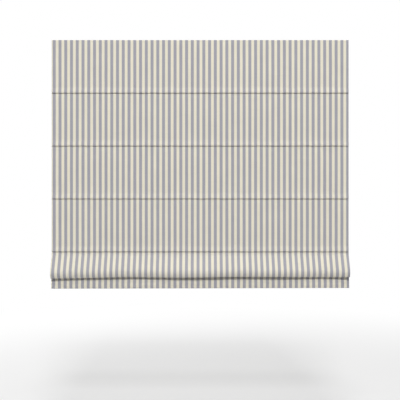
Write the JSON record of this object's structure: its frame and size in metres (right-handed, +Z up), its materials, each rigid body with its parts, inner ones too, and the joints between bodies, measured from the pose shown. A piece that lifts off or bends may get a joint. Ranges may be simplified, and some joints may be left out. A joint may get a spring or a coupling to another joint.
{
  "type": "roman blind",
  "caption": "Striped roman blind on a slim headrail with clip brackets: a spring lift gathers the lined cloth on its rods, and a soft pleat hangs above the weighted hem.",
  "frame": {"origin": "on the fixing plane, midway between the two brackets' top holes", "axes": "+X along the headrail to the right as seen from the room, +Y away from the room, +Z up"},
  "size_m": [1.2, 0.0755, 1.0022],
  "materials": {
    "face_cloth": "woven cotton stripe",
    "lining": "plain cotton sateen",
    "tape": "woven tape",
    "rail": "white powder coat",
    "moulding": "moulded",
    "rod": "glass fibre rod",
    "ring": "moulded",
    "steel": "zinc plated"
  },
  "bodies": {
    "headrail": {"headrail": "rail", "end_cap_left": "moulding", "end_cap_right": "moulding", "bracket_left": "rail", "bracket_right": "rail", "hook_tape": "tape", "loop_tape": "tape", "face_cloth": "face_cloth", "lining": "lining", "cradle_left": "moulding", "cradle_centre": "moulding", "cradle_right": "moulding", "spring_case": "moulding", "spring_cover": "moulding", "lift_spring": "steel", "brake_case": "moulding", "brake_cover": "moulding", "brake_spring": "steel"},
    "lift_shaft": {"lift_shaft": "steel", "spool_left": "moulding", "spool_centre": "moulding", "spool_right": "moulding", "spring_arbor": "moulding", "brake_hub": "moulding"},
    "upper_rod": {"rod_1": "rod", "rod_1_caps": "moulding", "rod_1_tape": "tape", "rod_1_rings": "ring"},
    "middle_rod": {"rod_2": "rod", "rod_2_caps": "moulding", "rod_2_tape": "tape", "rod_2_rings": "ring"},
    "lower_rod": {"rod_3": "rod", "rod_3_caps": "moulding", "rod_3_tape": "tape", "rod_3_rings": "ring"},
    "gathered_bottom": {"rod_4": "rod", "rod_4_caps": "moulding", "rod_4_tape": "tape", "rod_4_rings": "ring", "rod_5": "rod", "rod_5_caps": "moulding", "rod_5_tape": "tape", "rod_5_rings": "ring", "bottom_bar": "rail", "bottom_bar_caps": "moulding"}
  },
  "joints": [
    {"name": "bottom_lift", "type": "slide", "parent": "headrail", "child": "gathered_bottom", "axis": [0, 0, 1], "range_m": [0, 0.734], "deforming": ["face_cloth", "lining"]},
    {"name": "upper_rod_lift", "type": "slide", "parent": "headrail", "child": "upper_rod", "axis": [0, 0, 1], "range_m": [0, 0.1574]},
    {"name": "middle_rod_lift", "type": "slide", "parent": "headrail", "child": "middle_rod", "axis": [0, 0, 1], "range_m": [0, 0.3496]},
    {"name": "lower_rod_lift", "type": "slide", "parent": "headrail", "child": "lower_rod", "axis": [0, 0, 1], "range_m": [0, 0.5419]},
    {"name": "shaft_turn", "type": "hinge", "parent": "headrail", "child": "lift_shaft", "pos_m": [0, 0, -0.0226], "axis": [-1, 0, 0], "range_deg": [0, 5260], "deforming": ["lift_spring"]}
  ],
  "couplings": [
    {"joint": "upper_rod_lift", "follows": "bottom_lift", "ratio": 0.21413},
    {"joint": "middle_rod_lift", "follows": "bottom_lift", "ratio": 0.47609},
    {"joint": "lower_rod_lift", "follows": "bottom_lift", "ratio": 0.73804},
    {"joint": "shaft_turn", "follows": "bottom_lift", "rad_per_m": 125}
  ]
}
